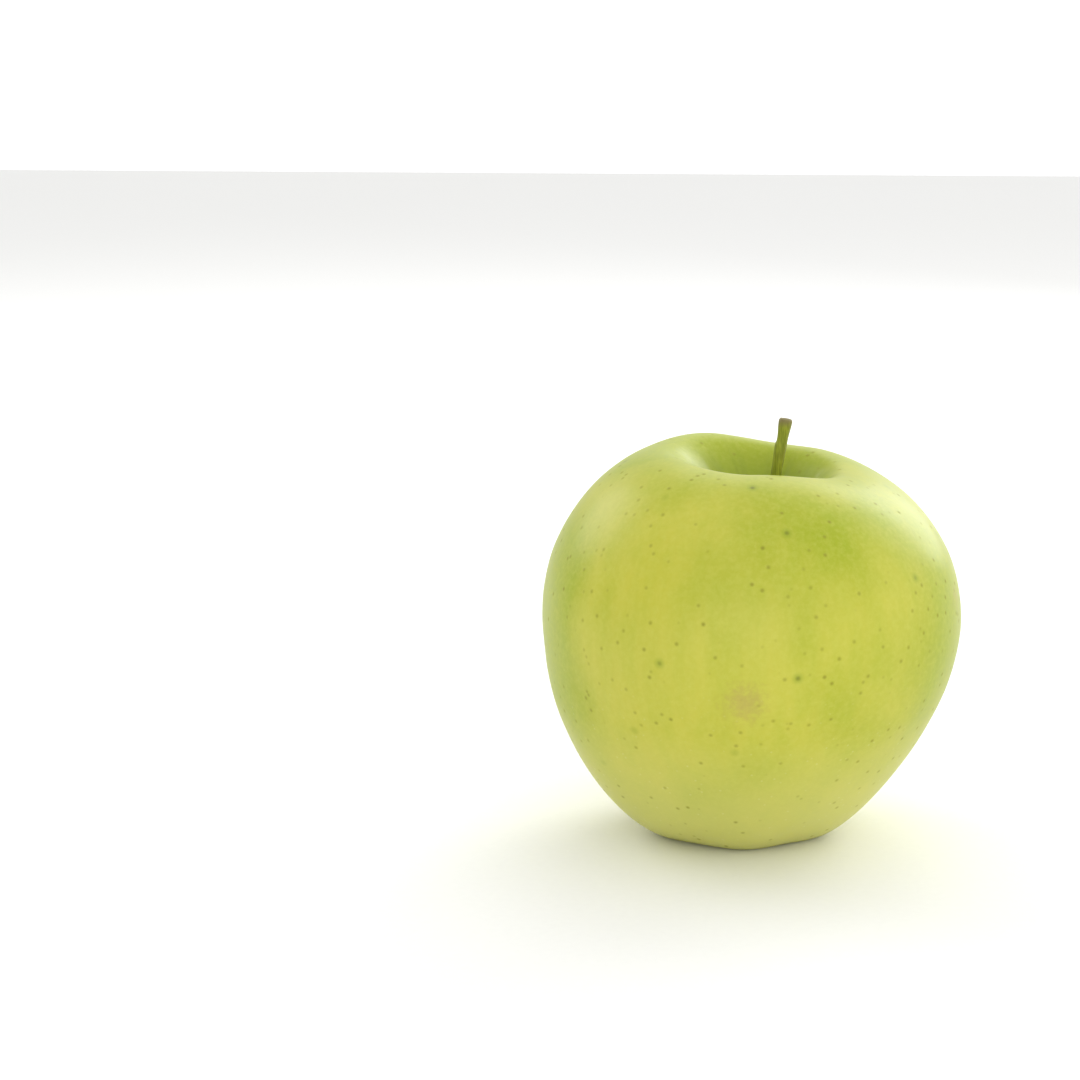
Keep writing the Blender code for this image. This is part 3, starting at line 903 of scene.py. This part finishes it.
# %% [markdown]
# ## Floor and room
#
# The apple stands on a flat sheet of matt white paper in a white room. Matt paper scatters
# light evenly, so it shows a soft shadow and no reflection. The room gives most of the light.
# Its left wall is dimmer, which gives the left side of the apple its depth, but the strip just
# above the paper stays white, so that paper and room meet without a line.

# %% Matt white paper and a white room
FLOOR_SIZE = 3.0
PAPER_TOOTH = 1.5 * MM
ROOM_LIGHT = 1.13
LEFT_WALL = 0.25
bpy.ops.mesh.primitive_plane_add(size=FLOOR_SIZE, location=(0.0, 0.0, 0.0))
floor = bpy.context.object
floor.name = "floor"
paper, tree, shader = new_material("matt_white_paper")
place = add(tree, "TexCoord").outputs["Object"]
tooth = add(tree, "TexNoise", {"Vector": place, "Scale": 1 / PAPER_TOOTH, "Detail": 2.0})
tint = add(tree, "Mix", {0: tooth.outputs["Fac"], COLOUR_A: linear("#F4F4F2"),
                         COLOUR_B: linear("#F8F8F6")}, data_type="RGBA")
tree.links.new(tint.outputs[COLOUR_OUT], shader.inputs["Base Color"])
shader.inputs["Roughness"].default_value = 0.9
floor.data.materials.append(paper)

room = bpy.data.worlds.new("white_room")
room.use_nodes = True
tree = room.node_tree
toward = add(tree, "SeparateXYZ", {0: add(tree, "TexCoord").outputs["Generated"]})
left_side = add(tree, "MapRange", {"Value": toward.outputs["X"], "From Min": -0.15,
                                   "From Max": -0.75}, interpolation_type="SMOOTHSTEP")
above_floor = add(tree, "MapRange", {"Value": toward.outputs["Z"], "From Min": 0.02,
                                     "From Max": 0.18})
dimmed = add(tree, "Math", {0: left_side.outputs[0], 1: above_floor.outputs[0]},
             operation="MULTIPLY")
wall = add(tree, "MapRange", {"Value": dimmed.outputs[0], "To Min": ROOM_LIGHT,
                              "To Max": LEFT_WALL})
tree.links.new(wall.outputs[0], tree.nodes["Background"].inputs["Strength"])
tree.nodes["Background"].inputs["Color"].default_value = linear("#FFFFFF")
bpy.context.scene.world = room
print("paper", FLOOR_SIZE, "m wide, room light", ROOM_LIGHT, "and", LEFT_WALL, "on the left")

# %% [markdown]
# ## Lights
#
# A shiny fruit shows the lights round it, so they are large, soft disks. One behind each
# shoulder makes both shoulders shine and the right edge glow, a weak one over the back lights
# the crest behind the stem, and a wide one in front keeps the front from going dark.

# %% Soft lights
apple_middle = (fruit_low + fruit_high) / 2
LIGHTS = (
    # name, direction from the apple, distance and width in metres, power in watts
    ("soft_light_back_left", Vector((-0.75, 0.45, 0.48)), 0.75, 0.45, 1.7),
    ("soft_light_back_right", Vector((0.56, 0.78, 0.38)), 0.75, 0.45, 1.8),
    ("soft_light_front", Vector((-0.10, -1.0, 0.10)), 1.30, 1.20, 3.2),
    ("soft_light_back_top", Vector((0.10, 0.66, 0.74)), 0.80, 0.50, 0.8),
)
for name, direction, distance, width, power in LIGHTS:
    light = bpy.data.lights.new(name, "AREA")
    light.shape = "DISK"
    light.size = width
    light.energy = power
    lamp = bpy.data.objects.new(name, light)
    lamp.location = apple_middle + direction.normalized() * distance
    lamp.rotation_mode = "QUATERNION"
    lamp.rotation_quaternion = (apple_middle - lamp.location).to_track_quat("-Z", "Y")
    bpy.context.scene.collection.objects.link(lamp)
print("lights:", len(LIGHTS))

# %% [markdown]
# ## Camera
#
# A long lens keeps the apple's proportions as the eye knows them, where a short one near the
# apple would swell its front. The camera looks down a little, so that the rim of the stem
# cavity shows as a line with the stem behind it. It aims to the left of the apple and above
# it, so the apple stands right of the middle and low in the frame.

# %% Camera
# Lens and sensor in millimetres, distance in metres
LENS = 100.0
SENSOR = 36.0
LOOK_DOWN = math.radians(13.7)
DISTANCE = 0.574
AIM_LEFT = 40.6 * MM
AIM_ABOVE = 19.1 * MM
LOOK_HEIGHT = 37.0 * MM

camera_data = bpy.data.cameras.new("camera")
camera_data.lens = LENS
camera_data.sensor_width = SENSOR
camera_data.clip_start = 0.01
camera = bpy.data.objects.new("camera", camera_data)
bpy.context.scene.collection.objects.link(camera)
looked_at = Vector((0.0, 0.0, LOOK_HEIGHT))
forward = Vector((0.0, math.cos(LOOK_DOWN), -math.sin(LOOK_DOWN)))
upward = Vector((0.0, math.sin(LOOK_DOWN), math.cos(LOOK_DOWN)))
camera.location = looked_at - forward * DISTANCE
aim = looked_at - Vector((AIM_LEFT, 0.0, 0.0)) + upward * AIM_ABOVE
camera.rotation_mode = "QUATERNION"
camera.rotation_quaternion = (aim - camera.location).to_track_quat("-Z", "Y")
bpy.context.scene.camera = camera
bpy.context.scene.view_settings.view_transform = "Standard"
print("camera is", round(camera.location.z, 3), "m above the floor")
